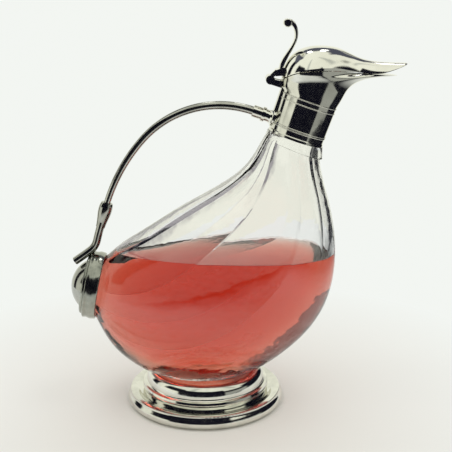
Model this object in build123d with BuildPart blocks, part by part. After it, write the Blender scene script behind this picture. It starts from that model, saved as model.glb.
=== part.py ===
from build123d import *
from math import cos, pi, radians, sin, sqrt
import os

os.makedirs("parts", exist_ok=True)

# Wine carafe in the shape of a duck: a glass body with eight soft panels, held by a silvered
# foot, collar and tail cap, with a loop handle and a hinged lid shaped like the bird's head.
# Millimetres, +Z up, +X towards the bill, and the origin on the table under the foot's centre.

# Body: every section lies in a plane that fans about one point above the back
FAN_X = -48.4
FAN_Z = 233.4
NECK_ANGLE = -18.5
TAIL_ANGLE = -100.5
NECK_REACH = 118.5
TAIL_REACH = 148.8
SHOULDER_RADIUS = 19.5
SHOULDER_FLATNESS = 0.5
NECK_FLATNESS = 0.03
# Smooth band under the collar: fan angle and reach of its lower edge, and its two radii
BAND_ANGLE = -21.6
BAND_REACH = 119.7
BAND_LOW_RADIUS = 21.7
BAND_TOP_RADIUS = 20.3
# Fan angle, reach of the back line, reach of the breast line, half the width, panel flatness
BODY_SECTIONS = [
    (-24, 98.0, 142.8, 22.0, 0.8),
    (-31, 97.8, 159.6, 27.6, 0.8),
    (-40, 96.6, 186.0, 34.0, 0.7),
    (-50, 93.8, 209.8, 39.2, 0.7),
    (-61, 92.0, 222.0, 41.8, 0.7),
    (-72, 93.6, 226.6, 42.0, 0.7),
    (-82, 99.4, 220.4, 39.4, 0.65),
    (-90, 107.2, 206.4, 34.6, 0.6),
    (-96, 115.6, 190.0, 28.0, 0.45),
]
TAIL_HALF_DEPTH = 22.6
TAIL_HALF_WIDTH = 20.2
TAIL_END_INSET = 5.2
TAIL_NUB = 5.0
TAIL_BASE_WALL = 2.0
TAIL_FLATNESS = 0.2
WALL = 3.2
# How much of the panels' flatness the inside of the bottle keeps
INSIDE_FLATNESS = 0.4
BASE_WALL = 10.0
# Turns of the ridges from the breast line on one side, in degrees, at the neck and at the tail
NECK_RIDGES = (51, 82, 131, 163)
TAIL_RIDGES = (46, 60, 100, 150)
# How far the ridges of the flattest panels stand out, as a share of the section's radius
RIDGE_RISE = 0.06
# Sine of the largest turn at which a panel still counts as the breast's or the back's own
ON_AXIS = 0.01

# Neck, inside the collar
NECK_RADIUS = 16.8
NECK_BORE = 13.8
NECK_LENGTH = 15.0
NECK_FLARE = 1.2
NECK_OVERLAP = 1.0
JOIN_DEPTH = 0.2

# Wine
WINE_LEVEL = 114.0
WINE_GAP = 0.1

# Foot: half section of the outside, as radius and height, from the rim up to the bottle
FOOT_RIM_OUTER = 55.2
FOOT_RIM_INNER = 50.0
FOOT_SHEET = 1.5
FOOT_ROLL = [(FOOT_RIM_OUTER, 0), (57.4, 3.0), (56.9, 6.2), (55.5, 8.8), (52.2, 10.0)]
FOOT_VALLEY = [(52.2, 10.0), (48.6, 8.9), (45.4, 8.9)]
FOOT_RING = [(45.4, 11.3), (46.6, 11.9), (46.6, 13.2), (46.0, 13.5), (46.4, 13.9), (45.9, 15.3), (44.6, 15.6)]
FOOT_COVE = [(44.6, 15.6), (43.7, 16.2), (43.4, 17.4)]
FOOT_CUP = [(43.4, 17.4), (43.1, 19.4), (42.1, 22.4), (40.4, 24.3), (38.0, 25.0)]
FOOT_DISH = [(38.0, 25.0), (33.0, 24.0), (20.0, 21.6), (0, 20.4)]
# The same for the inside of the sheet, from the rim up
FOOT_INSIDE = [
    (53.8, 0),
    (55.7, 3.0),
    (55.1, 6.0),
    (52.0, 8.4),
    (48.4, 7.4),
    (43.9, 7.4),
    (44.0, 13.8),
    (42.0, 15.2),
    (41.6, 18.4),
    (40.4, 22.0),
    (38.0, 23.4),
    (33.0, 22.4),
    (20.0, 20.0),
    (0, 18.8),
]
CEMENT_RADIUS = 39.0
CEMENT_BASE = 9.0
CEMENT_TOP = 26.0

# Collar
COLLAR_LENGTH = 28.5
COLLAR_LOW_RADIUS = 19.3
COLLAR_TOP_RADIUS = 20.0
COLLAR_SHEET = 1.2
COLLAR_EDGE = 0.5
COLLAR_EDGE_WIDTH = 1.6
COLLAR_EDGE_TOP = 2.2
LINE_RADIUS = 0.45
LINE_HEIGHTS = (5.9, 7.1, 24.4, 27.9)

# Spout: points at the back and the front of each section, from the collar up
SPOUT_SECTIONS = [
    ((54.1, 229.2), (92.0, 216.5)),
    ((53.4, 231.8), (95.5, 222.6)),
    ((53.0, 234.0), (99.4, 229.4)),
    ((52.9, 235.6), (103.8, 233.5)),
    ((52.8, 237.4), (110.5, 236.4)),
    ((52.8, 239.8), (121.5, 238.2)),
    ((52.8, 241.8), (133.5, 239.2)),
    ((52.8, 246.5), (137.0, 240.4)),
]
SPOUT_SHEET = 1.3
HEAD_RADIUS = 20.3
REAR_STEPS = 4
FORE_STEPS = 7
BILL_HALF_WIDTH = 8.0
BILL_TAPER = 38.0
BILL_REACH = 82.4
# How much wider than the collar each section of the spout is
SPOUT_FLARE = (1.0, 1.0, 1.0, 1.01, 1.035, 1.075, 1.105, 1.105)
RIM_LINE = [(50.0, 235.0), (54.0, 237.1), (60.0, 240.5), (67.0, 242.5), (80.0, 243.4)]
RIM_FRONT = [(93.0, 242.8), (103.0, 241.75), (112.0, 240.75), (124.0, 240.0), (137.0, 238.6)]
ABOVE_HEAD = [(150.0, 260.0), (40.0, 260.0)]

# Lid: distance along the head, then the heights of its foot, of the top of its upright edge and of its crown
ARCH_STEPS = 8
LID_SECTIONS = [
    (54.1, 237.7, 238.1, 241.4),
    (56.0, 239.0, 239.5, 246.4),
    (59.4, 240.8, 241.3, 251.8),
    (64.5, 242.5, 243.2, 255.9),
    (72.0, 243.5, 244.8, 258.6),
    (81.0, 243.7, 245.4, 259.3),
    (91.0, 243.3, 245.0, 258.0),
    (100.5, 242.3, 243.1, 254.0),
    (110.0, 241.25, 241.6, 250.2),
    (119.0, 240.8, 241.3, 248.5),
    (127.0, 242.3, 242.7, 248.0),
    (134.0, 244.6, 244.9, 247.8),
    (139.2, 246.9, 247.1, 247.7),
]
LID_BACK = 53.2
LID_REACH = 87.0
LID_FLARE = 1.05
LID_SHEET = 1.3
# How far round its ellipse the side of the head starts, so that its edge leans in
LID_EDGE_TURN = 22.0

# Hinge
HINGE_X = 45.8
HINGE_Z = 236.6
KNUCKLE_RADIUS = 3.1
LID_KNUCKLE_WIDTH = 6.0
KNUCKLE_GAP = 0.15
SIDE_KNUCKLE_WIDTH = 4.4
LEAF_WIDTH = 13.0
LEAF_X = 49.4
LEAF_LOW_Z = 239.0
LEAF_TOP_Z = 243.2
LEAF_GAP = 0.4
LEAF_BACK = [(55.6, 245.0), (55.6, 239.6)]
HINGE_BRACKET = [(45.8, 233.6), (53.4, 231.2), (54.2, 235.8), (46.4, 237.4)]
BACK_STRIP_LOW = 13.6
BACK_STRIP_TOP = 35.6
BACK_STRIP_SHEET = 1.3
PIN_RADIUS = 1.0
PIN_RUNNING_GAP = 0.05
PIN_FIXED_GAP = 0.02
PIN_HEAD_RADIUS = 1.8
PIN_HEAD_WIDTH = 0.8
PLATE_WIDTH = 9.0

# Thumbpiece
THUMB_WIDTH = 8.0
THUMB_FRONT = [(54.2, 241.8), (59.0, 253.6), (64.3, 266.5), (63.2, 272.8), (59.5, 277.0)]
THUMB_REAR = [(57.8, 273.8), (60.8, 271.2), (62.2, 266.6), (57.2, 255.2), (51.8, 243.4)]
SCROLL_X = 57.2
SCROLL_Z = 274.4
SCROLL_RADIUS = 2.9
SCROLL_WIDTH = 9.6
THUMB_ROUNDING = 0.9

# Handle
SOCKET_HEIGHT = 8.6
FLANGE_RADIUS = 6.2
FLANGE_LENGTH = 5.6
FLANGE_DEPTH = 1.5
SLEEVE_RADIUS = 4.3
FLANGE_COVE = [(FLANGE_RADIUS, 0.8), (5.0, 2.0), (SLEEVE_RADIUS, 4.4)]
SLEEVE_RING_RADIUS = 5.2
SLEEVE_LENGTH = 15.0
SLEEVE_RING = (6.2, 8.4)
TUBE_TOP_RADIUS = 3.1
TUBE_LOW_RADIUS = 2.4
TUBE_BENDS = [(-2.5, 217.4), (-42.9, 194.7), (-69.9, 146.9)]
# Ferrule: half section along the handle's line, as radius and distance
FERRULE_START = (0, -2.5)
FERRULE_END = (0, 16.0)
FERRULE_SIDE = [(4.0, -2.5), (4.8, 0.6), (4.5, 7.2), (3.3, 16.0)]
# Scrolled rod from the ferrule to the tail cap: its bends, and half its width and thickness
SCROLL_ROD_BENDS = [(-77.4, 121.6), (-82.6, 113.9), (-93.6, 106.1)]
SCROLL_ROD_HALF_WIDTH = 3.7
SCROLL_ROD_HALF_THICKNESS = 2.9

# Tail cap
CAP_BORE = 22.6
CAP_DEPTH = 10.0
CAP_SHEET = 1.4
# Rounded side of the cap: radius, and distance from its open edge
CAP_SIDE = [(23.4, 0), (24.5, 1.6), (24.7, 4.4), (24.1, 7.6), (21.9, CAP_DEPTH)]
CAP_CEMENT_INSET = 1.2
BEAD_RADIUS = 20.6
BEAD_SIZE = 1.5
DOME_RADIUS = 18.8
DOME_RISE = 11.6
DOME_SHEET = 1.3


def along(start, direction, distance):
    """The point at a distance from a start, along a direction in the plane of symmetry."""
    return (start[0] + direction[0] * distance, 0, start[2] + direction[2] * distance)


def fan_ray(angle):
    """Direction from the fan's point down into the body at an angle."""
    return (cos(radians(angle)), 0, sin(radians(angle)))


def fan_normal(angle):
    """Direction across a fan plane, from the tail towards the neck."""
    return (-sin(radians(angle)), 0, cos(radians(angle)))


FAN_POINT = (FAN_X, 0, FAN_Z)
NECK_AXIS = fan_normal(NECK_ANGLE)
NECK_OUT = fan_ray(NECK_ANGLE)
NECK_CENTRE = along(FAN_POINT, NECK_OUT, NECK_REACH)
TAIL_AXIS = tuple(-part for part in fan_normal(TAIL_ANGLE))
TAIL_CENTRE = along(FAN_POINT, fan_ray(TAIL_ANGLE), TAIL_REACH)


def fan_plane(angle, reach, shift=0.0):
    """Sketch plane of one body section: x runs away from the fan's point, y across the body."""
    ray = fan_ray(angle)
    normal = fan_normal(angle)
    centre = along(FAN_POINT, ray, reach)
    return Plane(origin=along(centre, normal, shift), x_dir=ray, z_dir=normal)


def axial_plane(origin, axis):
    """Sketch plane whose y runs along an axis and whose x runs away from it."""
    return Plane(origin=origin, x_dir=(axis[2], 0, -axis[0]), z_dir=(0, -1, 0))


def ridge_turns(angle):
    """Turns of the eight ridges at a fan angle, all the way round from the near side of the breast."""
    along_body = (angle - NECK_ANGLE) / (TAIL_ANGLE - NECK_ANGLE)
    one_side = [
        radians(start + (end - start) * along_body**2) for start, end in zip(NECK_RIDGES, TAIL_RIDGES)
    ]
    return [*one_side, *(2 * pi - turn for turn in reversed(one_side))]


def panel_section(plane, half_depth, half_width, angle, flatness):
    """Closed section with eight soft panels, round where the flatness is nought."""
    ridge = 1 + RIDGE_RISE * flatness
    turns = ridge_turns(angle)

    def at(turn, scale):
        return (half_depth * scale * cos(turn), half_width * scale * sin(turn))

    def middle(start, end):
        """Middle of a panel: on the measured outline at the breast and the back, flatter at the sides."""
        turn = (start + end) / 2
        if abs(sin(turn)) < ON_AXIS:
            return at(turn, 1)
        return at(turn, ridge * (1 - flatness * (1 - cos((end - start) / 2))))

    with BuildSketch(plane) as section:
        with BuildLine():
            for start, end in zip(turns, [*turns[1:], turns[0] + 2 * pi]):
                ThreePointArc(at(start, ridge), middle(start, end), at(end, ridge))
        make_face()
    return section.sketch


def body_sections(inset):
    """Body sections from below the neck to the tail, inset from the outer surface."""
    sections = []
    for angle, back, breast, half_width, flatness in BODY_SECTIONS:
        low = sin(radians(-angle)) ** 2
        base = (BASE_WALL - WALL) * low if inset else 0.0
        top_reach = back + inset
        low_reach = breast - inset - base
        reach = (top_reach + low_reach) / 2
        flatness = flatness * INSIDE_FLATNESS if inset else flatness
        half_depth = (low_reach - top_reach) / 2
        plane = fan_plane(angle, reach)
        sections.append(panel_section(plane, half_depth, half_width - inset, angle, flatness))
    return sections


def neck_section(radius, height, flatness=NECK_FLATNESS):
    """Section of the neck at a height above the bottle's shoulder, round unless it is told otherwise."""
    plane = fan_plane(NECK_ANGLE, NECK_REACH, height)
    return panel_section(plane, radius, radius, NECK_ANGLE, flatness)


def tail_section(inset, beyond):
    """Section of the tail, inset from its outline, at a distance beyond the cap's rim."""
    plane = fan_plane(TAIL_ANGLE, TAIL_REACH, -beyond)
    return panel_section(plane, TAIL_HALF_DEPTH - inset, TAIL_HALF_WIDTH - inset, TAIL_ANGLE, TAIL_FLATNESS)


def cavity(inset):
    """The hollow of the bottle, from above its mouth to the tail."""
    bore = NECK_BORE + WALL - inset
    with BuildPart() as hollow:
        top = neck_section(bore + NECK_FLARE, -JOIN_DEPTH)
        loft([top, *body_sections(inset), tail_section(inset + TAIL_BASE_WALL, 0)])
        with BuildSketch(fan_plane(NECK_ANGLE, NECK_REACH, -NECK_OVERLAP)):
            Circle(bore)
        extrude(amount=NECK_LENGTH + 2 * NECK_OVERLAP)
    return hollow.part


# Outside of the bottle, without its neck
with BuildPart() as bottle_outside:
    shoulder = neck_section(SHOULDER_RADIUS, -JOIN_DEPTH, SHOULDER_FLATNESS)
    loft([shoulder, *body_sections(0.0), tail_section(0, 0), tail_section(TAIL_END_INSET, TAIL_NUB)])
    band_plane = fan_plane(BAND_ANGLE, BAND_REACH)
    band_foot = panel_section(band_plane, BAND_LOW_RADIUS, BAND_LOW_RADIUS, BAND_ANGLE, NECK_FLATNESS)
    loft([neck_section(BAND_TOP_RADIUS, 0), band_foot])

# Glass bottle
with BuildPart() as glass_body:
    add(bottle_outside.part)
    with BuildSketch(fan_plane(NECK_ANGLE, NECK_REACH, -NECK_OVERLAP)):
        Circle(NECK_RADIUS)
    extrude(amount=NECK_LENGTH + NECK_OVERLAP)
    add(cavity(WALL), mode=Mode.SUBTRACT)
glass_body.part.label = "glass_body"
export_step(glass_body.part, "parts/glass_body.step")

# Wine, level on top
with BuildPart() as wine:
    add(cavity(WALL + WINE_GAP))
    split(bisect_by=Plane.XY.offset(WINE_LEVEL), keep=Keep.BOTTOM)
wine.part.label = "wine"
export_step(wine.part, "parts/wine.step")


def foot_outside():
    """Half section of the foot, solid down to the table."""
    with BuildSketch(Plane.XZ) as profile:
        with BuildLine():
            Polyline(FOOT_DISH[-1], (0, 0), FOOT_ROLL[0])
            Spline(*FOOT_ROLL, tangents=((1, 1), (-1, 0)))
            Spline(*FOOT_VALLEY, tangents=((-1, 0), (-1, 0)))
            Polyline(FOOT_VALLEY[-1], *FOOT_RING)
            ThreePointArc(*FOOT_COVE)
            Spline(*FOOT_CUP, tangents=((0, 1), (-1, 0)))
            Spline(*FOOT_DISH, tangents=((-1, 0), (-1, 0)))
        make_face()
    return profile.sketch


def foot_inside():
    """Half section of the space under the foot's sheet."""
    with BuildSketch(Plane.XZ) as profile:
        with BuildLine():
            Polyline((0, 0), *FOOT_INSIDE, (0, 0))
        make_face()
    return profile.sketch


# Foot: a spun sheet with a rolled rim, and an opening that fits the bottle
with BuildPart() as foot:
    revolve(foot_outside(), axis=Axis.Z)
    revolve(foot_inside(), axis=Axis.Z, mode=Mode.SUBTRACT)
    with BuildSketch(Plane.XY):
        Circle(FOOT_RIM_OUTER - FOOT_SHEET / 2)
        Circle(FOOT_RIM_INNER, mode=Mode.SUBTRACT)
    extrude(amount=FOOT_SHEET)
    add(bottle_outside.part, mode=Mode.SUBTRACT)
foot.part.label = "foot"
export_step(foot.part, "parts/foot.step")

# Cement that beds the bottle in the foot
with BuildPart() as foot_cement:
    revolve(foot_inside(), axis=Axis.Z)
    with BuildSketch(Plane.XY.offset(CEMENT_BASE)):
        Circle(CEMENT_RADIUS)
    extrude(amount=CEMENT_TOP - CEMENT_BASE, mode=Mode.INTERSECT)
    add(bottle_outside.part, mode=Mode.SUBTRACT)
foot_cement.part.label = "foot_cement"
export_step(foot_cement.part, "parts/foot_cement.step")

collar_sketch = axial_plane(NECK_CENTRE, NECK_AXIS)
collar_axis = Axis(NECK_CENTRE, NECK_AXIS)

# Collar: a tapered band with a stepped lower edge and thin raised lines
with BuildPart() as collar:
    with BuildSketch(collar_sketch):
        with BuildLine():
            Polyline(
                (COLLAR_LOW_RADIUS - COLLAR_SHEET, 0),
                (COLLAR_LOW_RADIUS + COLLAR_EDGE, 0),
                (COLLAR_LOW_RADIUS + COLLAR_EDGE, COLLAR_EDGE_WIDTH),
                (COLLAR_LOW_RADIUS, COLLAR_EDGE_TOP),
                (COLLAR_TOP_RADIUS, COLLAR_LENGTH),
                (COLLAR_TOP_RADIUS - COLLAR_SHEET, COLLAR_LENGTH),
                close=True,
            )
        make_face()
        slope = (COLLAR_TOP_RADIUS - COLLAR_LOW_RADIUS) / COLLAR_LENGTH
        for height in LINE_HEIGHTS:
            with Locations((COLLAR_LOW_RADIUS + slope * height, height)):
                Circle(LINE_RADIUS)
    revolve(axis=collar_axis)
collar.part.label = "collar"
export_step(collar.part, "parts/collar.step")

# Cement between the neck and the collar
with BuildPart() as collar_cement:
    with BuildSketch(collar_sketch):
        with BuildLine():
            Polyline(
                (NECK_RADIUS, 0),
                (COLLAR_LOW_RADIUS - COLLAR_SHEET, 0),
                (COLLAR_LOW_RADIUS - COLLAR_SHEET + slope * NECK_LENGTH, NECK_LENGTH),
                (NECK_RADIUS, NECK_LENGTH),
                close=True,
            )
        make_face()
    revolve(axis=collar_axis)
collar_cement.part.label = "collar_cement"
export_step(collar_cement.part, "parts/collar_cement.step")


def head_half_width(distance, reach):
    """Half the width of the head seen from above: round at the back, drawn out to a bill."""
    if distance <= HEAD_RADIUS:
        return sqrt(max(0.0, HEAD_RADIUS**2 - (HEAD_RADIUS - distance) ** 2))
    ahead = distance - HEAD_RADIUS
    share = min(1.0, ahead / (reach - HEAD_RADIUS))
    bill_share = min(1.0, max(0.0, (reach - 2 * HEAD_RADIUS) / (BILL_REACH - 2 * HEAD_RADIUS)))
    round_width = HEAD_RADIUS * sqrt(1 - share**2)
    taper = (1 + cos(pi * min(1.0, ahead / BILL_TAPER))) / 2
    bill_width = (BILL_HALF_WIDTH + (HEAD_RADIUS - BILL_HALF_WIDTH) * taper) * sqrt(1 - share**8)
    return round_width * (1 - bill_share) + bill_width * bill_share


def head_outline(back, front, flare, inset, raised):
    """One level of the spout: a closed curve from its back point round to its front point."""
    length = sqrt((front[0] - back[0]) ** 2 + (front[1] - back[1]) ** 2)
    forward = ((front[0] - back[0]) / length, 0, (front[1] - back[1]) / length)
    upward = (-forward[2], 0, forward[0])
    plane = Plane(origin=along((back[0], 0, back[1]), upward, raised), x_dir=forward, z_dir=upward)
    centre = HEAD_RADIUS
    rear = [centre - centre * cos(pi / 2 * step / REAR_STEPS) for step in range(REAR_STEPS + 1)]
    fore = [centre + (length - centre) * sin(pi / 2 * step / FORE_STEPS) for step in range(1, FORE_STEPS + 1)]
    scale = (length - 2 * inset) / length
    side = []
    for distance in rear + fore:
        width = head_half_width(distance, length) * flare * (HEAD_RADIUS - inset) / HEAD_RADIUS
        side.append((inset + distance * scale, width))
    other = [(distance, -width) for distance, width in reversed(side[1:-1])]
    with BuildSketch(plane) as outline:
        with BuildLine():
            Spline(*side, *other, periodic=True)
        make_face()
    return outline.sketch


def spout_sections(inset):
    """Levels of the spout, inset from its outside and raised more and more towards the bill."""
    last = len(SPOUT_SECTIONS) - 1
    sections = []
    for level, (back, front) in enumerate(SPOUT_SECTIONS):
        raised = inset * level / last if level else -inset
        sections.append(head_outline(back, front, SPOUT_FLARE[level], inset, raised))
    return sections


with BuildPart() as spout_outside:
    loft(spout_sections(0.0))

with BuildPart() as spout_hollow:
    loft(spout_sections(SPOUT_SHEET))

# Everything above the spout's rim line
with BuildPart() as above_rim:
    with BuildSketch(Plane.XZ):
        with BuildLine():
            Spline(*RIM_LINE, *RIM_FRONT)
            Polyline(RIM_FRONT[-1], *ABOVE_HEAD, RIM_LINE[0])
        make_face()
    extrude(amount=2 * HEAD_RADIUS, both=True)

# Spout: a bowl that draws out into the lower bill
with BuildPart() as spout:
    add(spout_outside.part)
    add(spout_hollow.part, mode=Mode.SUBTRACT)
    add(above_rim.part, mode=Mode.SUBTRACT)
spout.part.label = "spout"
export_step(spout.part, "parts/spout.step")


def arch_section(place, foot, edge, width, height):
    """One cross-section of the head: an arch on two short upright walls."""
    start = radians(LID_EDGE_TURN)
    crown = []
    for step in range(1, ARCH_STEPS):
        turn = start + (pi - 2 * start) * step / ARCH_STEPS
        crown.append((width * cos(turn) / cos(start), height * (sin(turn) - sin(start)) / (1 - sin(start))))
    with BuildSketch(Plane(origin=(place, 0, edge), x_dir=(0, 1, 0), z_dir=(1, 0, 0))) as section:
        with BuildLine():
            Spline((width, 0), *crown, (-width, 0))
            Polyline((-width, 0), (-width, foot - edge), (width, foot - edge), (width, 0))
        make_face()
    return section.sketch


def lid_sections(inset, drop):
    """Cross-sections of the head, inset from its outside, with its foot dropped."""
    sections = []
    for place, foot, edge, crown in LID_SECTIONS:
        width = head_half_width(place - LID_BACK, LID_REACH) * LID_FLARE - inset
        height = crown - edge - inset
        if width > inset and height > drop:
            sections.append(arch_section(place, foot - drop, edge, width, height))
    return sections


with BuildPart() as lid_outside:
    loft(lid_sections(0.0, 0.0))

with BuildPart() as lid_hollow:
    loft(lid_sections(LID_SHEET, LID_SHEET))

# Lid: the bird's head and upper bill, open underneath
with BuildPart() as lid:
    add(lid_outside.part)
    add(lid_hollow.part, mode=Mode.SUBTRACT)
lid.part.label = "lid"
export_step(lid.part, "parts/lid.step")


def ring(origin, axis, low, high, outer, inner=0.0):
    """Round block or ring about an axis, between two distances along it."""
    with BuildPart() as block:
        with BuildSketch(Plane(origin=along(origin, axis, low), z_dir=axis)):
            Circle(outer)
            if inner:
                Circle(inner, mode=Mode.SUBTRACT)
        extrude(amount=high - low)
    return block.part


def barrel(radius, middle, width):
    """Round block along the hinge's own line, centred at a place across the body."""
    plane = Plane(origin=(HINGE_X, middle, HINGE_Z), z_dir=(0, 1, 0))
    with BuildPart() as block:
        with BuildSketch(plane):
            Circle(radius)
        extrude(amount=width / 2, both=True)
    return block.part


# Silver parts that others are fitted against
with BuildPart() as collar_outside:
    with BuildSketch(collar_sketch):
        with BuildLine():
            Polyline(
                (0, 0),
                (COLLAR_LOW_RADIUS, 0),
                (COLLAR_TOP_RADIUS, COLLAR_LENGTH),
                (0, COLLAR_LENGTH),
                close=True,
            )
        make_face()
    revolve(axis=collar_axis)

# Lid's half of the hinge: the middle knuckle, and a leaf soldered to the back of the head
with BuildPart() as lid_hinge_leaf:
    add(barrel(KNUCKLE_RADIUS, 0, LID_KNUCKLE_WIDTH))
    with BuildSketch(Plane.XZ):
        with BuildLine():
            Polyline(
                (HINGE_X, HINGE_Z + KNUCKLE_RADIUS),
                (LEAF_X, LEAF_TOP_Z),
                (LEAF_X, LEAF_LOW_Z),
                (HINGE_X, HINGE_Z + LEAF_GAP),
                close=True,
            )
        make_face()
    extrude(amount=LID_KNUCKLE_WIDTH / 2, both=True)
    with BuildSketch(Plane.XZ):
        with BuildLine():
            Polyline((LEAF_X, LEAF_LOW_Z), (LEAF_X, LEAF_TOP_Z), *LEAF_BACK, close=True)
        make_face()
    extrude(amount=LEAF_WIDTH / 2, both=True)
    add(barrel(PIN_RADIUS + PIN_RUNNING_GAP, 0, LEAF_WIDTH), mode=Mode.SUBTRACT)
    add(lid_outside.part, mode=Mode.SUBTRACT)
lid_hinge_leaf.part.label = "lid_hinge_leaf"
export_step(lid_hinge_leaf.part, "parts/lid_hinge_leaf.step")

side_middle = LID_KNUCKLE_WIDTH / 2 + KNUCKLE_GAP + SIDE_KNUCKLE_WIDTH / 2
hinge_half_width = side_middle + SIDE_KNUCKLE_WIDTH / 2
socket_point = along(along(NECK_CENTRE, NECK_AXIS, SOCKET_HEIGHT), NECK_OUT, -COLLAR_LOW_RADIUS)
handle_out = tuple(-part for part in NECK_OUT)

# Collar's half of the hinge: two side knuckles on a strip that runs down the collar's back
with BuildPart() as hinge_back_plate:
    for side in (-1, 1):
        add(barrel(KNUCKLE_RADIUS, side * side_middle, SIDE_KNUCKLE_WIDTH))
        with BuildSketch(Plane.XZ.offset(-side * (side_middle - SIDE_KNUCKLE_WIDTH / 2))):
            with BuildLine():
                Polyline(*HINGE_BRACKET, close=True)
            make_face()
        extrude(amount=-side * SIDE_KNUCKLE_WIDTH)
    strip_foot = along(NECK_CENTRE, NECK_AXIS, BACK_STRIP_LOW)
    with BuildSketch(Plane(origin=strip_foot, x_dir=NECK_OUT, z_dir=NECK_AXIS)):
        Circle(COLLAR_TOP_RADIUS + BACK_STRIP_SHEET)
        Circle(COLLAR_LOW_RADIUS - COLLAR_SHEET / 2, mode=Mode.SUBTRACT)
        with Locations((-COLLAR_TOP_RADIUS, 0)):
            Rectangle(COLLAR_TOP_RADIUS, PLATE_WIDTH, mode=Mode.INTERSECT)
    extrude(amount=BACK_STRIP_TOP - BACK_STRIP_LOW)
    add(barrel(PIN_RADIUS + PIN_FIXED_GAP, 0, 3 * hinge_half_width), mode=Mode.SUBTRACT)
    add(collar_outside.part, mode=Mode.SUBTRACT)
    add(collar.part, mode=Mode.SUBTRACT)
    add(spout_outside.part, mode=Mode.SUBTRACT)
hinge_back_plate.part.label = "hinge_back_plate"
export_step(hinge_back_plate.part, "parts/hinge_back_plate.step")

# Hinge pin, with a head at each end
with BuildPart() as hinge_pin:
    add(barrel(PIN_RADIUS, 0, 2 * hinge_half_width))
    for side in (-1, 1):
        add(barrel(PIN_HEAD_RADIUS, side * (hinge_half_width + PIN_HEAD_WIDTH / 2), PIN_HEAD_WIDTH))
hinge_pin.part.label = "hinge_pin"
export_step(hinge_pin.part, "parts/hinge_pin.step")

# Thumbpiece: a tapering strap that curls over into a small scroll
with BuildPart() as thumbpiece:
    with BuildSketch(Plane.XZ):
        with BuildLine():
            Spline(*THUMB_FRONT)
            Line(THUMB_FRONT[-1], THUMB_REAR[0])
            Spline(*THUMB_REAR)
            Line(THUMB_REAR[-1], THUMB_FRONT[0])
        make_face()
    extrude(amount=THUMB_WIDTH / 2, both=True)
    fillet(thumbpiece.edges().filter_by(GeomType.BSPLINE), THUMB_ROUNDING)
    with BuildSketch(Plane(origin=(SCROLL_X, 0, SCROLL_Z), x_dir=(0, 1, 0), z_dir=(1, 0, 0))):
        RectangleRounded(SCROLL_WIDTH, 2 * SCROLL_RADIUS, THUMB_ROUNDING)
        with Locations((0, -SCROLL_RADIUS)):
            Rectangle(SCROLL_WIDTH, 2 * SCROLL_RADIUS, mode=Mode.SUBTRACT)
    revolve(axis=Axis((SCROLL_X, 0, SCROLL_Z), (0, 1, 0)))
    add(lid_hinge_leaf.part, mode=Mode.SUBTRACT)
    add(lid_outside.part, mode=Mode.SUBTRACT)
thumbpiece.part.label = "thumbpiece"
export_step(thumbpiece.part, "parts/thumbpiece.step")

# Flange that carries the handle's upper end on the collar
with BuildPart() as handle_flange:
    with BuildSketch(axial_plane(socket_point, handle_out)):
        with BuildLine():
            Polyline(
                (0, FLANGE_LENGTH),
                (0, -FLANGE_DEPTH),
                (FLANGE_RADIUS, -FLANGE_DEPTH),
                FLANGE_COVE[0],
            )
            ThreePointArc(*FLANGE_COVE)
            Polyline(FLANGE_COVE[-1], (SLEEVE_RADIUS, FLANGE_LENGTH), (0, FLANGE_LENGTH))
        make_face()
    revolve(axis=Axis(socket_point, handle_out))
    add(collar_outside.part, mode=Mode.SUBTRACT)
    add(collar.part, mode=Mode.SUBTRACT)
    add(hinge_back_plate.part, mode=Mode.SUBTRACT)
handle_flange.part.label = "handle_flange"
export_step(handle_flange.part, "parts/handle_flange.step")

tube_start = along(socket_point, handle_out, FLANGE_LENGTH)

# Handle: a tapering rod bent in three arcs from the collar to the tail
with BuildPart() as handle_tube:
    with BuildLine() as handle_line:
        bend = Line(tube_start, along(socket_point, handle_out, SLEEVE_LENGTH))
        for place_x, place_z in TUBE_BENDS:
            bend = TangentArc(bend @ 1, (place_x, 0, place_z), tangent=bend % 1)
    with BuildSketch(Plane(origin=handle_line.line @ 0, z_dir=handle_line.line % 0)):
        Circle(TUBE_TOP_RADIUS)
    with BuildSketch(Plane(origin=handle_line.line @ 1, z_dir=handle_line.line % 1)):
        Circle(TUBE_LOW_RADIUS)
    sweep(multisection=True)
handle_tube.part.label = "handle_tube"
export_step(handle_tube.part, "parts/handle_tube.step")

# Sleeve with a raised ring, around the handle's upper end
with BuildPart() as handle_upper_sleeve:
    add(ring(socket_point, handle_out, FLANGE_LENGTH, SLEEVE_LENGTH, SLEEVE_RADIUS))
    add(ring(socket_point, handle_out, *SLEEVE_RING, SLEEVE_RING_RADIUS))
    add(handle_tube.part, mode=Mode.SUBTRACT)
handle_upper_sleeve.part.label = "handle_upper_sleeve"
export_step(handle_upper_sleeve.part, "parts/handle_upper_sleeve.step")

tube_end = handle_line.line @ 1
tube_direction = handle_line.line % 1
ferrule_start = (tube_end.X, 0, tube_end.Z)
ferrule_axis = (tube_direction.X, 0, tube_direction.Z)

# Ferrule at the handle's lower end, swelling like a thistle around the tube
with BuildPart() as handle_lower_ferrule:
    with BuildSketch(axial_plane(ferrule_start, ferrule_axis)):
        with BuildLine():
            Polyline(FERRULE_END, FERRULE_START, FERRULE_SIDE[0])
            Spline(*FERRULE_SIDE)
            Line(FERRULE_SIDE[-1], FERRULE_END)
        make_face()
    revolve(axis=Axis(ferrule_start, ferrule_axis))
    add(handle_tube.part, mode=Mode.SUBTRACT)
handle_lower_ferrule.part.label = "handle_lower_ferrule"
export_step(handle_lower_ferrule.part, "parts/handle_lower_ferrule.step")

cap_sketch = axial_plane(TAIL_CENTRE, TAIL_AXIS)
cap_axis = Axis(TAIL_CENTRE, TAIL_AXIS)
dome_ball = (DOME_RADIUS**2 + DOME_RISE**2) / (2 * DOME_RISE)


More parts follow.
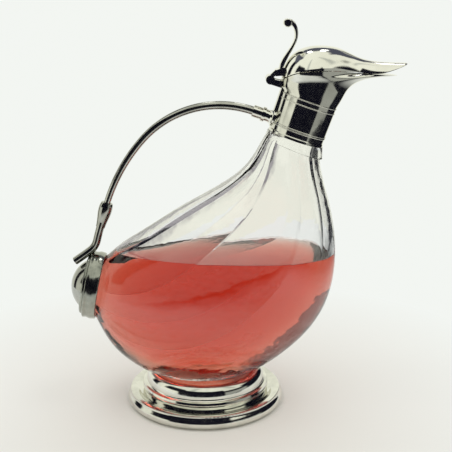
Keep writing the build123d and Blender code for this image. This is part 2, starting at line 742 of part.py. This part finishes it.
# Tail cap: a shallow dish with rounded edges, open towards the bottle
with BuildPart() as tail_cap:
    with BuildSketch(cap_sketch):
        with BuildLine():
            Line((CAP_BORE, 0), CAP_SIDE[0])
            Spline(*CAP_SIDE, tangents=((1, 0), (-1, 0)))
            Polyline(
                CAP_SIDE[-1],
                (0, CAP_DEPTH),
                (0, CAP_DEPTH - CAP_SHEET),
                (CAP_BORE, CAP_DEPTH - CAP_SHEET),
                (CAP_BORE, 0),
            )
        make_face()
    revolve(axis=cap_axis)
tail_cap.part.label = "tail_cap"
export_step(tail_cap.part, "parts/tail_cap.step")

# Bead around the back of the cap
with BuildPart() as tail_cap_bead:
    with BuildSketch(cap_sketch):
        with Locations((BEAD_RADIUS, CAP_DEPTH + BEAD_SIZE / 2)):
            Circle(BEAD_SIZE)
    revolve(axis=cap_axis)
    add(tail_cap.part, mode=Mode.SUBTRACT)
tail_cap_bead.part.label = "tail_cap_bead"
export_step(tail_cap_bead.part, "parts/tail_cap_bead.step")


def dome_block(sheet):
    """Solid cap of a ball on the back of the tail cap, thinner by the sheet."""
    ball = dome_ball - sheet
    centre = CAP_DEPTH + DOME_RISE - dome_ball
    edge = sqrt(ball**2 - (CAP_DEPTH - centre) ** 2)
    middle = (ball * sin(pi / 6), centre + ball * cos(pi / 6))
    with BuildPart() as block:
        with BuildSketch(cap_sketch):
            with BuildLine():
                Line((0, CAP_DEPTH), (edge, CAP_DEPTH))
                ThreePointArc((edge, CAP_DEPTH), middle, (0, centre + ball))
                Line((0, centre + ball), (0, CAP_DEPTH))
            make_face()
        revolve(axis=cap_axis)
    return block.part


# Dome in the middle of the cap
with BuildPart() as tail_cap_dome:
    add(dome_block(0.0))
    add(dome_block(DOME_SHEET), mode=Mode.SUBTRACT)
tail_cap_dome.part.label = "tail_cap_dome"
export_step(tail_cap_dome.part, "parts/tail_cap_dome.step")

# Cement that holds the bottle's tail in the cap
with BuildPart() as tail_cap_cement:
    add(ring(TAIL_CENTRE, TAIL_AXIS, CAP_CEMENT_INSET, CAP_DEPTH - CAP_SHEET, CAP_BORE))
    add(bottle_outside.part, mode=Mode.SUBTRACT)
tail_cap_cement.part.label = "tail_cap_cement"
export_step(tail_cap_cement.part, "parts/tail_cap_cement.step")

# Oval rod that joins the handle to the cap and ends in a cut tip behind it
with BuildPart() as handle_scroll:
    with BuildLine() as scroll_line:
        rod_bend = Line(tube_end, along(ferrule_start, ferrule_axis, FERRULE_END[1]))
        for place_x, place_z in SCROLL_ROD_BENDS:
            rod_bend = TangentArc(rod_bend @ 1, (place_x, 0, place_z), tangent=rod_bend % 1)
    with BuildSketch(Plane(origin=tube_end, x_dir=(0, 1, 0), z_dir=tube_direction)):
        Ellipse(SCROLL_ROD_HALF_WIDTH, SCROLL_ROD_HALF_THICKNESS)
    sweep()
    add(handle_lower_ferrule.part, mode=Mode.SUBTRACT)
    add(handle_tube.part, mode=Mode.SUBTRACT)
    add(tail_cap.part, mode=Mode.SUBTRACT)
    add(tail_cap_bead.part, mode=Mode.SUBTRACT)
    add(dome_block(0.0), mode=Mode.SUBTRACT)
handle_scroll.part.label = "handle_scroll"
export_step(handle_scroll.part, "parts/handle_scroll.step")
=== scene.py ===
# %% [markdown]
# A duck-shaped glass jug, dressed for its portrait
#
# The jug is pressed glass held by silver-plated mounts: a stepped foot, a collar with a spout and a
# hinged lid shaped like the bird's head, a loop handle, and a cap on the tail. The construction is
# already fixed in another program, so this lesson only loads it and gives every surface its look. All
# lengths are in metres.

# %% Load the frame
from math import pi, radians

import bpy
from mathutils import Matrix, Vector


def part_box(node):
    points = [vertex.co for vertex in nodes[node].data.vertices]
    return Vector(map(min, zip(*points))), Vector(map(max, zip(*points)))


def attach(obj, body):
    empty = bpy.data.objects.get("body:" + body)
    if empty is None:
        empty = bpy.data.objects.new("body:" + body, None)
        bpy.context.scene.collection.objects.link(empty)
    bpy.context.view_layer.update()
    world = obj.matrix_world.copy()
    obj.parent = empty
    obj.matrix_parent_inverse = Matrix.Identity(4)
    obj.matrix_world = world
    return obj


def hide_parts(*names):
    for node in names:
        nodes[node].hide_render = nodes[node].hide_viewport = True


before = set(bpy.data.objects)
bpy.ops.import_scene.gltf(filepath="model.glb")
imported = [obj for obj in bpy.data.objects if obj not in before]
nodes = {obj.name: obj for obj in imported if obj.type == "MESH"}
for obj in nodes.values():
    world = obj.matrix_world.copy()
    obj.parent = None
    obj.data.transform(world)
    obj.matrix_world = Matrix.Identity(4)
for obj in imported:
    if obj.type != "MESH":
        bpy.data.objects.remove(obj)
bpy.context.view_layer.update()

MM = 0.001


def deselect_all():
    """Leaves nothing selected, because an operator acts on everything that is."""
    bpy.ops.object.select_all(action="DESELECT")


deselect_all()

# %% [markdown]
# Camera
#
# The photograph looks at the jug's side from a little above. A camera is set by where it stands, which
# way it points and how long its lens is. These could be tried out by eye, but the foot gives them
# away: its upper ring is a flatter ellipse than its rim on the table, and the right camera shows both
# as they are. An unturned camera looks straight down, so a quarter turn makes it level and the pitch
# is taken off that. The Standard view shows a colour about as it is written.

# %% Camera
CAMERA_PLACE = (15.5 * MM, -620 * MM, 292.5 * MM)
CAMERA_PITCH = 14.5
FOCAL_LENGTH = 71.1
SENSOR_WIDTH = 36

bpy.ops.object.camera_add(location=CAMERA_PLACE, rotation=(radians(90 - CAMERA_PITCH), 0, 0))
camera = bpy.context.object
camera.data.lens = FOCAL_LENGTH
camera.data.sensor_width = SENSOR_WIDTH
bpy.context.scene.camera = camera
bpy.context.scene.view_settings.view_transform = "Standard"
print("camera", tuple(camera.location), "lens", FOCAL_LENGTH)

# %% [markdown]
# Shorthand for node graphs
#
# A material is a small graph of nodes, and so is the light of the room. Each step adds a node, sets
# some of its sockets and joins others to the nodes before it, which takes a line apiece when it is
# written out. These helpers do it in one call, so the recipes below stay readable.

# %% Nodes and sockets
def feed(graph, socket, source):
    """Gives a socket a plain value, or joins another node's output to it."""
    if isinstance(source, bpy.types.NodeSocket):
        graph.links.new(source, socket)
    else:
        socket.default_value = source


def add_node(graph, kind, **settings):
    """Adds a node. A setting is one of its properties, or a socket's title with underscores for spaces."""
    node = graph.nodes.new("ShaderNode" + kind)
    for key, value in settings.items():
        if hasattr(node, key):
            setattr(node, key, value)
        else:
            feed(graph, node.inputs[key.replace("_", " ")], value)
    return node


print("node helpers ready")

# %% Steps that recur
def math_step(graph, operation, *values):
    """One step of arithmetic, on plain numbers or on outputs."""
    node = add_node(graph, "Math", operation=operation)
    for socket, value in zip(node.inputs, values):
        feed(graph, socket, value)
    return node.outputs["Value"]


def remap(graph, value, low, high, new_low, new_high):
    """Stretches a value from one span to another, and holds it at the ends."""
    spans = {"From_Min": low, "From_Max": high, "To_Min": new_low, "To_Max": new_high}
    return add_node(graph, "MapRange", clamp=True, Value=value, **spans).outputs["Result"]


def mix_colours(graph, share, first, second):
    """All of the first colour where the share is 0, all of the second where it is 1."""
    return add_node(graph, "MixRGB", Fac=share, Color1=first, Color2=second).outputs["Color"]


def mix_shaders(graph, share, first, second):
    """The same for two shaders."""
    node = add_node(graph, "MixShader")
    for socket, source in zip(node.inputs, (share, first, second)):
        feed(graph, socket, source)
    return node.outputs["Shader"]


print("step helpers ready")

# %% [markdown]
# The studio
#
# Polished silver has hardly any colour of its own: what it shows is the room. The jug's reflections
# tell of a white tent with an open front: bright sides and ceiling, and a black middle where the
# camera stood. Such a room could be built from cloths around the jug, but they would shade it and
# stand in the way of every other view. So the world is painted by direction instead, with two angles:
# the turn, counted from the camera's side round towards the bill's side, and the height above the
# level.

# %% Directions in the room
world = bpy.data.worlds.new("studio")
bpy.context.scene.world = world
world.use_nodes = True
sky = world.node_tree
sky.nodes.clear()

DEGREES = 180 / pi
direction = add_node(sky, "TexCoord").outputs["Generated"]
x_part, y_part, z_part = add_node(sky, "SeparateXYZ", Vector=direction).outputs
towards_camera = math_step(sky, "MULTIPLY", y_part, -1.0)
turn = math_step(sky, "MULTIPLY", math_step(sky, "ARCTAN2", x_part, towards_camera), DEGREES)
height = math_step(sky, "MULTIPLY", math_step(sky, "ARCSINE", z_part), DEGREES)
print("direction nodes", len(sky.nodes))

# %% [markdown]
# Each patch of the room is a window of turn and height, in degrees. On the bill's side stands a grey
# sheet, with dark gaps beside and over it. The tail's side has a narrow gap and a high one. Two grey
# seams run up the ceiling, and a slate band lies high behind the jug, with two lamps at its upper
# edge: they are the two white spots on the lid. Later patches lie over earlier ones.

# %% Patches of the room
TENT = (0.90, 0.91, 0.80, 1)
DARK_ROOM = (0.004, 0.004, 0.010, 1)
GREY_SHEET = (0.36, 0.37, 0.34, 1)
SLATE = (0.085, 0.09, 0.12, 1)
SEAM_GREY = (0.55, 0.57, 0.52, 1)
LAMP_GLOW = (5.0, 5.0, 4.8, 1)
STRAIGHT_DOWN = -90

# Name, turn from and to, height from and to, width of the soft edge, colour
PATCHES = [
    ("tail_side_gap", (-119, -105), (STRAIGHT_DOWN, 48), 3, DARK_ROOM),
    ("ceiling_seam_left", (-30, -26), (40, 75), 7, SEAM_GREY),
    ("ceiling_seam_right", (66, 70), (40, 75), 7, SEAM_GREY),
    ("band_behind_right", (108, 190), (42, 60), 5, SLATE),
    ("band_behind_left", (-190, -108), (42, 60), 5, SLATE),
    ("lamp_left", (-172, -160), (57, 63), 2, LAMP_GLOW),
    ("lamp_right", (150, 162), (56, 62), 2, LAMP_GLOW),
    ("bill_side_gap", (84, 148), (STRAIGHT_DOWN, 34), 6, DARK_ROOM),
    ("grey_sheet", (36, 84), (STRAIGHT_DOWN, 10), 6, GREY_SHEET),
    ("gap_over_grey_sheet", (40, 100), (12, 24), 4, DARK_ROOM),
    ("high_gap_on_tail_side", (-82, -46), (13, 42), 4, DARK_ROOM),
]
print("patches", len(PATCHES))

# %% Paint the room
OPEN_FRONT = ((-50, 38), (STRAIGHT_DOWN, 38), 3)


def between(value, low, high, soft):
    """1 between two numbers, and falling to 0 over a soft edge outside them."""
    rise = remap(sky, value, low - soft, low, 0, 1)
    fall = remap(sky, value, high, high + soft, 1, 0)
    return math_step(sky, "MULTIPLY", rise, fall)


def room_layer(below, name, turns, heights, soft, colour):
    """Lays one patch over the room painted so far."""
    inside_turns = between(turn, *turns, soft)
    inside_heights = between(height, *heights, soft)
    inside = math_step(sky, "MULTIPLY", inside_turns, inside_heights)
    print("patch", name)
    return mix_colours(sky, inside, below, colour)


tent_and_gaps = TENT
for patch in PATCHES:
    tent_and_gaps = room_layer(tent_and_gaps, *patch)
room = room_layer(tent_and_gaps, "open_front", *OPEN_FRONT, DARK_ROOM)

# %% [markdown]
# Seen from behind, clear glass would look smoky, because its far side opens on the dark front of the
# tent. Rays that pass through the jug therefore meet a grey cloth there, and only mirrored rays see
# the black opening. Two darker wings behind the tail's side give the clear glass the grey and dark
# streaks that it shows.

# %% Room behind the glass
GREY_CLOTH = (0.60, 0.61, 0.57, 1)
WING_GREY = (0.30, 0.28, 0.30, 1)
WINGS = [
    ("grey_wing", (-168, -144), (STRAIGHT_DOWN, 48), 6, WING_GREY),
    ("dark_wing", (-143, -119), (STRAIGHT_DOWN, 48), 3, DARK_ROOM),
]
through_room = tent_and_gaps
for wing in WINGS:
    through_room = room_layer(through_room, *wing)
through_room = room_layer(through_room, "grey_cloth", *OPEN_FRONT, GREY_CLOTH)

# %% [markdown]
# Light Path tells what kind of ray asks for a colour. The camera itself gets the plain backdrop.
# Mirrored rays and rays bent by the glass get the painted rooms. All others come from matt surfaces,
# which get even light.

# %% Rays that see the room
BACKDROP = (0.895, 0.92, 0.885, 1)
EVEN_LIGHT = (1.0, 1.0, 0.98, 1)
EVEN_STRENGTH = 0.86


def world_light(colour, strength=1.0):
    """Light of one colour, or of a painted room, from all around."""
    return add_node(sky, "Background", Color=colour, Strength=strength).outputs["Background"]


rays = add_node(sky, "LightPath").outputs
bent = rays["Is Transmission Ray"]
mirrored_or_bent = math_step(sky, "MAXIMUM", rays["Is Glossy Ray"], bent)
room_light = world_light(mix_colours(sky, bent, room, through_room))
even_light = world_light(EVEN_LIGHT, EVEN_STRENGTH)
on_the_jug = mix_shaders(sky, mirrored_or_bent, even_light, room_light)
everything = mix_shaders(sky, rays["Is Camera Ray"], on_the_jug, world_light(BACKDROP))
add_node(sky, "OutputWorld", Surface=everything)
print("world nodes", len(sky.nodes))

# %% [markdown]
# Floor
#
# The floor is a pale sheet, with painted shade on the camera's side of the jug, where less light
# falls on it. A large plane with a far edge would show a horizon. This one is a disc whose own colour
# fades into the backdrop's colour away from the jug, so no edge shows, while the shadow around the foot
# stays.

# %% Floor sheet
FLOOR_RADIUS = 0.52
FLOOR_CORNERS = 96
FLOOR_DROP = 0.2 * MM

bpy.ops.mesh.primitive_circle_add(
    vertices=FLOOR_CORNERS, radius=FLOOR_RADIUS, fill_type="NGON", location=(0, 0, -FLOOR_DROP)
)
floor = bpy.context.object
floor.name = "floor_sheet"
print("floor", FLOOR_RADIUS)

# %% Floor paint
FLOOR_BEHIND = (0.84, 0.815, 0.76, 1)
# The colour on the camera's side is painted shade: the floor is darker there because less light falls on
# it.
FLOOR_SHADE_IN_FRONT = (0.76, 0.73, 0.66, 1)
DARKER_FROM = -0.02
DARKER_TO = -0.14
FADE_FROM = 0.07
FADE_TO = 0.28


def new_material(name):
    """An empty material, and the graph to build in."""
    material = bpy.data.materials.new(name)
    material.use_nodes = True
    material.node_tree.nodes.clear()
    return material, material.node_tree


def glow(graph, colour):
    """A colour that shows as it is written, in any light."""
    return add_node(graph, "Emission", Color=colour, Strength=1.0).outputs["Emission"]


floor_paint, paint = new_material("floor_paint")
floor_place = add_node(paint, "TexCoord").outputs["Object"]
floor_axes = add_node(paint, "SeparateXYZ", Vector=floor_place).outputs
# Painted shade: the floor's colour darkens towards the camera.
painted_shade_in_front = remap(paint, floor_axes["Y"], DARKER_TO, DARKER_FROM, 1, 0)
floor_tone = mix_colours(paint, painted_shade_in_front, FLOOR_BEHIND, FLOOR_SHADE_IN_FRONT)
matt_sheet = add_node(paint, "BsdfDiffuse", Color=floor_tone).outputs["BSDF"]
from_middle = add_node(paint, "VectorMath", operation="LENGTH", Vector=floor_place).outputs["Value"]
fade = remap(paint, from_middle, FADE_FROM, FADE_TO, 0, 1)
faded_sheet = mix_shaders(paint, fade, matt_sheet, glow(paint, BACKDROP))
print("floor fades from", FADE_FROM, "to", FADE_TO)

# %% [markdown]
# The silver shows where the real sheet ends: beyond its front edge, and beyond its edge on the bill's
# side, the mounts mirror the dark room. The camera must not see those edges, so the floor turns dark
# out there for mirrored and bent rays only.

# %% Where the floor ends for mirrors
FLOOR_FRONT = 0.22
FLOOR_SIDE = 0.20
FLOOR_EDGE = 0.20

beyond_front = remap(paint, floor_axes["Y"], -FLOOR_FRONT - FLOOR_EDGE, -FLOOR_FRONT, 1, 0)
beyond_side = remap(paint, floor_axes["X"], FLOOR_SIDE, FLOOR_SIDE + FLOOR_EDGE, 0, 1)
beyond = math_step(paint, "MAXIMUM", beyond_front, beyond_side)
floor_rays = add_node(paint, "LightPath").outputs
in_mirrors = math_step(paint, "MAXIMUM", floor_rays["Is Glossy Ray"], floor_rays["Is Transmission Ray"])
dark_share = math_step(paint, "MULTIPLY", beyond, in_mirrors)
floor_or_room = mix_shaders(paint, dark_share, faded_sheet, glow(paint, DARK_ROOM))
add_node(paint, "OutputMaterial", Surface=floor_or_room)
floor.data.materials.append(floor_paint)
print("floor paint nodes", len(paint.nodes))

# %% [markdown]
# Lamps
#
# Two wide, weak lamps overhead add to the even light and give the foot its soft shadow. The silver
# would show them as two squares, so mirrored and bent rays don't see them. A lamp shines along its own
# downward axis, so its upward axis is turned straight away from the foot.

# %% Lamps
LAMP_WIDTH = 0.40

# Name, place, power in watts
LAMPS = [
    ("overhead_left", (-0.35, -0.10, 1.1), 1.1),
    ("overhead_right", (0.35, -0.05, 1.1), 0.9),
]
for lamp_name, place, power in LAMPS:
    bpy.ops.object.light_add(type="AREA", location=place)
    lamp = bpy.context.object
    lamp.name = lamp_name
    lamp.data.size = LAMP_WIDTH
    lamp.data.energy = power
    lamp.visible_glossy = False
    lamp.visible_transmission = False
    lamp.rotation_mode = "QUATERNION"
    lamp.rotation_quaternion = lamp.location.to_track_quat("Z", "Y")
    print(lamp_name, power, "W")

# %% [markdown]
# Silver plate
#
# Old plate is bright but never perfect: it is a little warm, its shine varies where hands and cloths
# have been, and the thin metal is not quite even, so reflections wobble. One even metal would look
# brand new. So the tone, the blur of the reflections and a slight bump each get their own cloudy
# pattern, laid on the piece's own coordinates, where it stays put when the lid turns.

# %% Patterns on a piece
def own_place(graph):
    """Where a point lies on its piece."""
    return add_node(graph, "TexCoord").outputs["Object"]


def clouds(graph, place, scale, detail, roughness):
    """A cloudy pattern. Scale counts its lumps per metre."""
    noise = add_node(graph, "TexNoise", Vector=place, Scale=scale, Detail=detail, Roughness=roughness)
    return noise.outputs["Fac"]


def two_tones(graph, pattern, tones, span=(0, 1)):
    """A colour that goes from the first tone to the second as a pattern rises through a span."""
    ramp = add_node(graph, "ValToRGB", Fac=pattern)
    for stop, position, tone in zip(ramp.color_ramp.elements, span, tones):
        stop.position = position
        stop.color = tone
    return ramp.outputs["Color"]


print("pattern helpers ready")

# %% Recipe for silver plate
TONE_SPAN = (0.3, 0.62)
WEAR_SPAN = (0.35, 0.7)
WAVE_STRENGTH = 0.25
WAVE_DEPTH = 0.4 * MM


def silver_plate(name, tones, blurs):
    """Plate in a darker and a lighter tone, with the least and the most blur that its wear gives."""
    material, graph = new_material(name)
    place = own_place(graph)
    tone = two_tones(graph, clouds(graph, place, scale=55, detail=5, roughness=0.6), tones, TONE_SPAN)
    wear = clouds(graph, place, scale=240, detail=6, roughness=0.65)
    blur = remap(graph, wear, *WEAR_SPAN, *blurs)
    waves = clouds(graph, place, scale=70, detail=2, roughness=0.4)
    bump = add_node(graph, "Bump", Strength=WAVE_STRENGTH, Distance=WAVE_DEPTH, Height=waves)
    dents = bump.outputs["Normal"]
    shader = add_node(graph, "BsdfPrincipled", Metallic=1.0, Base_Color=tone, Roughness=blur, Normal=dents)
    add_node(graph, "OutputMaterial", Surface=shader.outputs["BSDF"])
    print("silver", name)
    return material


# %% [markdown]
# The mounts don't all shine alike. The lid, its hinge and the handle's upper end are the brightest,
# and the foot, the collar and the spout are a little softer. The handle and the dome on the tail cap
# are darker, and the cap itself is the dullest. Four finishes from one recipe keep them one family.

# %% Four finishes
# Name, darker and lighter tone, least and most blur
FINISHES = [
    ("bright_silver", [(0.80, 0.79, 0.72, 1), (0.92, 0.915, 0.85, 1)], (0.05, 0.12)),
    ("softer_silver", [(0.62, 0.615, 0.56, 1), (0.82, 0.815, 0.75, 1)], (0.06, 0.14)),
    # Darker tones and a little more blur than the softer plate, for the handle and the tail cap's dome
    ("darker_silver", [(0.32, 0.32, 0.29, 1), (0.52, 0.52, 0.48, 1)], (0.08, 0.16)),
    ("dull_silver", [(0.22, 0.23, 0.20, 1), (0.46, 0.47, 0.42, 1)], (0.10, 0.20)),
]
silver = {name: silver_plate(name, tones, blurs) for name, tones, blurs in FINISHES}

# %% Silver on the mounts
SILVER_PIECES = {
    "bright_silver": [
        "lid", "thumbpiece", "lid_hinge_leaf", "hinge_pin", "handle_flange", "handle_upper_sleeve"
    ],
    "softer_silver": ["foot", "collar", "spout", "hinge_back_plate"],
    "darker_silver": ["handle_tube", "handle_scroll", "handle_lower_ferrule", "tail_cap_dome"],
    "dull_silver": ["tail_cap", "tail_cap_bead"],
}


def dress(piece, material):
    """Gives a piece this material alone."""
    piece.data.materials.clear()
    piece.data.materials.append(material)


for finish, names in SILVER_PIECES.items():
    for name in names:
        dress(nodes[name], silver[finish])
    print(finish, "on", len(names), "pieces")

# %% [markdown]
# Cement
#
# The glass is bedded in white plaster inside its mounts. Little of it shows, through the glass above
# the foot, so a rough, slightly cloudy off-white is all that it needs.

# %% Cement
PLASTER_TONES = [(0.62, 0.58, 0.50, 1), (0.80, 0.77, 0.70, 1)]
PLASTER_ROUGHNESS = 0.9
CEMENT_PIECES = ["foot_cement", "collar_cement", "tail_cap_cement"]

plaster, bed = new_material("bedding_plaster")
grains = clouds(bed, own_place(bed), scale=300, detail=6, roughness=0.6)
plaster_tone = two_tones(bed, grains, PLASTER_TONES)
plaster_shader = add_node(bed, "BsdfPrincipled", Base_Color=plaster_tone, Roughness=PLASTER_ROUGHNESS)
add_node(bed, "OutputMaterial", Surface=plaster_shader.outputs["BSDF"])
for name in CEMENT_PIECES:
    dress(nodes[name], plaster)
print("plaster on", len(CEMENT_PIECES), "pieces")

# %% [markdown]
# Glass and wine
#
# Light bends where it passes from one stuff into another. Each clear piece knows only its own index,
# so the wine is made a hair wider than the hollow it fills: a ray then enters the wine just before it
# leaves the glass, and the two bends together are the bend from glass into wine. A gap of air between
# them would shine like a mirror. Each filling dims the light by how far it goes inside it, which makes
# the wine deep in the middle and pale at the edges. A coloured surface alone would look equally deep
# all over.

# %% Materials that light passes through
WHITE = (1, 1, 1, 1)


def clear_material(name, index, body_colour, density, ripple=0.0):
    """A smooth see-through stuff that dims light inside it, with a faint ripple if it was pressed."""
    material, graph = new_material(name)
    shader = add_node(
        graph, "BsdfPrincipled", Base_Color=WHITE, Roughness=0.0, IOR=index, Transmission_Weight=1.0
    )
    if ripple:
        waves = clouds(graph, own_place(graph), scale=75, detail=2, roughness=0.45)
        bump = add_node(graph, "Bump", Strength=1.0, Distance=ripple, Height=waves)
        feed(graph, shader.inputs["Normal"], bump.outputs["Normal"])
    inside = add_node(graph, "VolumeAbsorption", Color=body_colour, Density=density)
    add_node(graph, "OutputMaterial", Surface=shader.outputs["BSDF"], Volume=inside.outputs["Volume"])
    print("clear", name, "index", index)
    return material


# %% Clear glass and rose wine
GLASS_INDEX = 1.50
GLASS_TINT = (0.90, 0.97, 0.93, 1)
GLASS_DENSITY = 6
GLASS_RIPPLE = 0.3 * MM
WINE_INDEX = 1.33
WINE_TINT = (0.865, 0.20, 0.02, 1)
WINE_DENSITY = 53

clear_glass = clear_material("clear_glass", GLASS_INDEX, GLASS_TINT, GLASS_DENSITY, GLASS_RIPPLE)
rose_wine = clear_material("rose_wine", WINE_INDEX, WINE_TINT, WINE_DENSITY)

# %% [markdown]
# Bottle
#
# The fixed model arrives as loose triangles, and clear glass would show every break between them.
# Merging their corners lets the shading run smoothly over the panels. Only edges that turn by more
# than a few degrees stay sharp, as the ridges between the panels do. The fixed piece itself must not
# change, so this is done on a copy that takes its place. Blender would give clear pieces a shadow as
# dark as a solid's, so the bottle and the wine cast none, and the mounts' shadow is left.

# %% Smooth copies
MERGE_WITHIN = 0.002 * MM


def merged_copy(node_name, piece_name, sharp_angle):
    """A copy of a fixed node with its loose triangles merged, smooth apart from its real edges."""
    piece = nodes[node_name].copy()
    piece.data = nodes[node_name].data.copy()
    piece.name = piece_name
    piece.parent = None
    bpy.context.scene.collection.objects.link(piece)
    deselect_all()
    piece.select_set(True)
    bpy.context.view_layer.objects.active = piece
    bpy.ops.mesh.customdata_custom_splitnormals_clear()
    bpy.ops.object.mode_set(mode="EDIT")
    bpy.ops.mesh.select_all(action="SELECT")
    bpy.ops.mesh.remove_doubles(threshold=MERGE_WITHIN)
    bpy.ops.object.mode_set(mode="OBJECT")
    bpy.ops.object.shade_smooth_by_angle(angle=radians(sharp_angle))
    print(piece_name, "triangles", len(piece.data.polygons))
    return piece


# %% Bottle
PANEL_SHARP_ANGLE = 9

bottle = merged_copy("glass_body", "pressed_bottle", PANEL_SHARP_ANGLE)
dress(bottle, clear_glass)
bottle.visible_shadow = False
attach(bottle, "carafe")
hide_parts("glass_body")

# %% [markdown]
# Wine
#
# The wine could be a new solid cut to the hollow, but the fixed filling already has that form. A copy
# of it has its sides pushed out a hair into the glass, and its top is then pressed flat again at its
# old level.

# %% Wine pushed into the glass
WINE_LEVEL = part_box("wine")[1].z
WINE_SHARP_ANGLE = 30
INTO_GLASS = 0.25 * MM

wine = merged_copy("wine", "rose_wine", WINE_SHARP_ANGLE)
dress(wine, rose_wine)
bpy.ops.object.mode_set(mode="EDIT")
bpy.ops.mesh.select_all(action="SELECT")
bpy.ops.transform.shrink_fatten(value=INTO_GLASS, use_even_offset=True)
bpy.ops.mesh.select_all(action="DESELECT")
bpy.ops.object.mode_set(mode="OBJECT")
print("wine level", WINE_LEVEL)

# %% Flat top
POINTS_WITHIN = 0.05 * MM

for vertex in wine.data.vertices:
    vertex.select = vertex.co.z > WINE_LEVEL - POINTS_WITHIN
top_count = sum(vertex.select for vertex in wine.data.vertices)
bpy.ops.object.mode_set(mode="EDIT")
bpy.ops.transform.resize(value=(1, 1, 0), center_override=(0, 0, WINE_LEVEL))
bpy.ops.object.mode_set(mode="OBJECT")
print("wine top points", top_count)

# %% [markdown]
# Wine wets glass and climbs a little up the wall, which draws a bright line around its surface. An
# inset of the top face leaves a narrow rim at the wall, and the middle is lowered by the height of the
# climb.

# %% Climbing rim
FACES_WITHIN = 0.1 * MM
FACING_UP = 0.99
CLIMB_WIDTH = 1.6 * MM
CLIMB_HEIGHT = 0.8 * MM

for face in wine.data.polygons:
    face.select = face.normal.z > FACING_UP and face.center.z > WINE_LEVEL - FACES_WITHIN
bpy.ops.object.mode_set(mode="EDIT")
bpy.ops.mesh.select_mode(type="FACE")
bpy.ops.mesh.inset(thickness=CLIMB_WIDTH, depth=0)
bpy.ops.transform.translate(value=(0, 0, -CLIMB_HEIGHT))
bpy.ops.mesh.select_all(action="DESELECT")
bpy.ops.mesh.select_mode(type="VERT")
bpy.ops.object.mode_set(mode="OBJECT")
wine.visible_shadow = False
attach(wine, "carafe")
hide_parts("wine")
print("wine triangles", len(wine.data.polygons))
